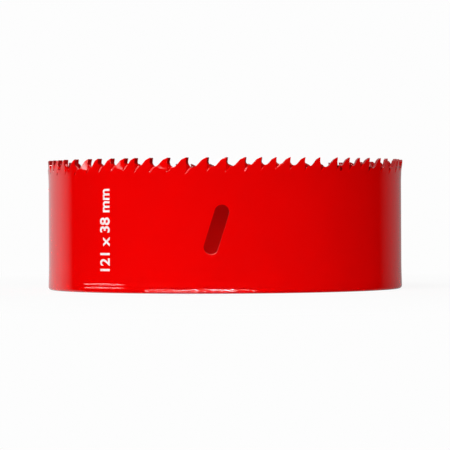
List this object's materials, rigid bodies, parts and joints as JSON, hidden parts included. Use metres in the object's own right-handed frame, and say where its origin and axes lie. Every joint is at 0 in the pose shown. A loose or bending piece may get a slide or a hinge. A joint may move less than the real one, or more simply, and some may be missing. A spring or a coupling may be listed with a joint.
{
  "type": "hole saw",
  "caption": "Large cup-shaped hole saw: thin toothed steel ring welded to a thick base disc, all painted red, for sawing round holes on an arbor.",
  "frame": {"origin": "on the saw's axis, in the plane of the underside of the base", "axes": "+Z along the axis from the base towards the teeth; -Y is the side with the first ejection slot; teeth point counter-clockwise seen from +Z"},
  "size_m": [0.1207, 0.1205, 0.0436],
  "materials": {
    "red_paint": "thick gloss red enamel over rolled steel strip",
    "red_paint_plate": "thick gloss red enamel over turned steel plate"
  },
  "bodies": {
    "root": {"toothed_ring": "red_paint", "base_plate": "red_paint_plate"}
  },
  "joints": []
}
